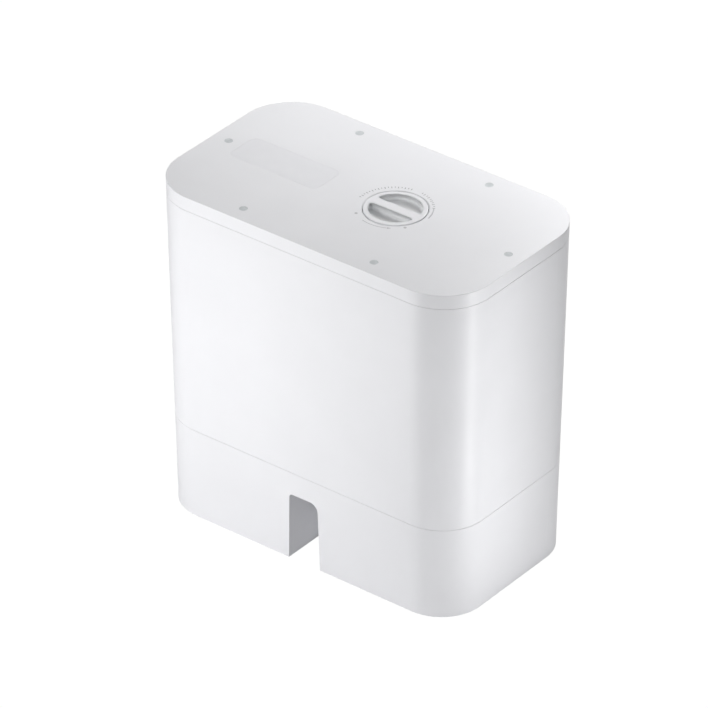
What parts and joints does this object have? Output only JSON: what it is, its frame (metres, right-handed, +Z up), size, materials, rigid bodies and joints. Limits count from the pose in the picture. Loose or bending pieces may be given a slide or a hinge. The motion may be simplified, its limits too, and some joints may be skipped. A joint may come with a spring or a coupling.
{
  "type": "countertop waste compactor",
  "caption": "White drafted box with a twist cap and screw plugs on its lid, a rear cord channel, and a screw-driven ram that presses waste in a pull-out bin.",
  "frame": {"origin": "on the table, under the centre of the housing's outline", "axes": "+X along the long side, +Y towards the drawer side, +Z up; the cord channel is in the -Y side"},
  "size_m": [0.3176, 0.182, 0.3126],
  "materials": {
    "casing_white": "satin moulded",
    "plug_grey": "soft matt",
    "sticker": "coated, bare",
    "cap_white": "satin moulded",
    "cup_grey": "matt moulded",
    "seal_rubber": "matt",
    "socket_grey": "moulded",
    "basket_grey": "moulded",
    "charcoal_felt": "pressed felt",
    "screw_steel": "bright zinc",
    "plate_steel": "zinc plated",
    "foot_rubber": "matt",
    "inlet_black": "moulded",
    "pin_brass": "plated",
    "board_green": "solder mask",
    "component_black": "moulded",
    "supply_case": "folded sheet",
    "motor_can": "black coated",
    "gear_steel": "cut, oiled",
    "gear_nylon": "natural nylon",
    "shaft_steel": "ground",
    "pulley_alloy": "machined",
    "belt_rubber": "matt ribbed",
    "frame_steel": "zinc plated",
    "bush_bronze": "sintered",
    "beam_alloy": "cast, milled",
    "nut_brass": "machined",
    "glide_white": "waxy",
    "ram_steel": "stainless, brushed",
    "bin_grey": "fine grain",
    "bezel_grey": "fine grain",
    "button_green": "satin",
    "button_grey": "satin",
    "lens_clear": "clear polished",
    "switch_black": "moulded"
  },
  "bodies": {
    "housing": {"base_housing": "casing_white", "main_casing": "casing_white", "top_cover": "casing_white", "screw_plugs": "plug_grey", "cover_label": "sticker", "odour_socket": "socket_grey", "cover_screws": "screw_steel", "base_screws": "screw_steel", "deck_screws": "screw_steel", "motor_screws": "screw_steel", "frame_screws": "screw_steel", "base_plate": "plate_steel", "rubber_feet": "foot_rubber", "power_inlet": "inlet_black", "inlet_pins": "pin_brass", "control_board": "board_green", "board_components": "component_black", "power_supply": "supply_case", "drive_deck": "plate_steel", "drive_motor": "motor_can", "jackshaft_bearings": "shaft_steel", "left_belt": "belt_rubber", "right_belt": "belt_rubber", "left_upright": "frame_steel", "right_upright": "frame_steel", "top_deck": "plate_steel", "lower_bearings": "bush_bronze", "upper_bearings": "bush_bronze", "drawer_rails": "frame_steel", "control_bezel": "bezel_grey", "status_lens": "lens_clear", "switch_board": "board_green", "drawer_switch": "switch_black", "limit_switches": "switch_black"},
    "ram": {"ram_crossbeam": "beam_alloy", "ram_nuts": "nut_brass", "ram_glides": "glide_white", "ram_box": "ram_steel", "ram_plate": "ram_steel", "ram_bolts": "screw_steel"},
    "drawer": {"waste_bin": "bin_grey", "drawer_front": "casing_white", "drawer_pull": "bezel_grey", "drawer_glides": "glide_white", "drawer_screws": "screw_steel"},
    "left_screw": {"left_lead_screw": "shaft_steel", "left_pulley": "pulley_alloy"},
    "right_screw": {"right_lead_screw": "shaft_steel", "right_pulley": "pulley_alloy"},
    "countershaft": {"jackshaft": "shaft_steel", "reduction_gear": "gear_nylon", "drive_pulley": "pulley_alloy"},
    "motor_rotor": {"motor_pinion": "gear_steel"},
    "basket": {"odour_basket": "basket_grey", "odour_cartridge": "charcoal_felt"},
    "cap": {"odour_cap": "cap_white", "cap_cup": "cup_grey", "cap_seal": "seal_rubber"},
    "start_key": {"start_button": "button_green"},
    "stop_key": {"stop_button": "button_grey"}
  },
  "joints": [
    {"name": "ram_slide", "type": "slide", "parent": "housing", "child": "ram", "axis": [0, 0, 1], "range_m": [-0.08, 0]},
    {"name": "left_screw_spin", "type": "hinge", "parent": "housing", "child": "left_screw", "pos_m": [-0.13005, 0, 0.18], "axis": [0, 0, 1], "range_deg": [-0.5, 3600.5]},
    {"name": "right_screw_spin", "type": "hinge", "parent": "housing", "child": "right_screw", "pos_m": [0.13005, 0, 0.18], "axis": [0, 0, 1], "range_deg": [-0.5, 3600.5]},
    {"name": "countershaft_spin", "type": "hinge", "parent": "housing", "child": "countershaft", "pos_m": [0, 0.014, 0.045], "axis": [0, 0, 1], "range_deg": [-0.5, 3600.5]},
    {"name": "motor_spin", "type": "hinge", "parent": "housing", "child": "motor_rotor", "pos_m": [0.02832, 0.04897, 0.03], "axis": [0, 0, 1], "range_deg": [-18002.5, 2.5]},
    {"name": "drawer_slide", "type": "slide", "parent": "housing", "child": "drawer", "axis": [0, 1, 0], "range_m": [0, 0.145]},
    {"name": "basket_lift", "type": "slide", "parent": "housing", "child": "basket", "axis": [0, 0, 1], "range_m": [0, 0.035]},
    {"name": "cap_turn", "type": "hinge", "parent": "basket", "child": "cap", "pos_m": [0.0295, 0, 0.3], "axis": [0, 0, 1], "range_deg": [0, 90]},
    {"name": "start_press", "type": "slide", "parent": "housing", "child": "start_key", "axis": [0, -1, 0], "range_m": [0, 0.0015], "stiffness_N_per_m": 800, "springref_m": -0.001},
    {"name": "stop_press", "type": "slide", "parent": "housing", "child": "stop_key", "axis": [0, -1, 0], "range_m": [0, 0.0015], "stiffness_N_per_m": 800, "springref_m": -0.001}
  ],
  "couplings": [
    {"joint": "left_screw_spin", "follows": "ram_slide", "rad_per_m": -785.4},
    {"joint": "right_screw_spin", "follows": "ram_slide", "rad_per_m": -785.4},
    {"joint": "countershaft_spin", "follows": "ram_slide", "rad_per_m": -785.4},
    {"joint": "motor_spin", "follows": "ram_slide", "rad_per_m": 3927}
  ]
}
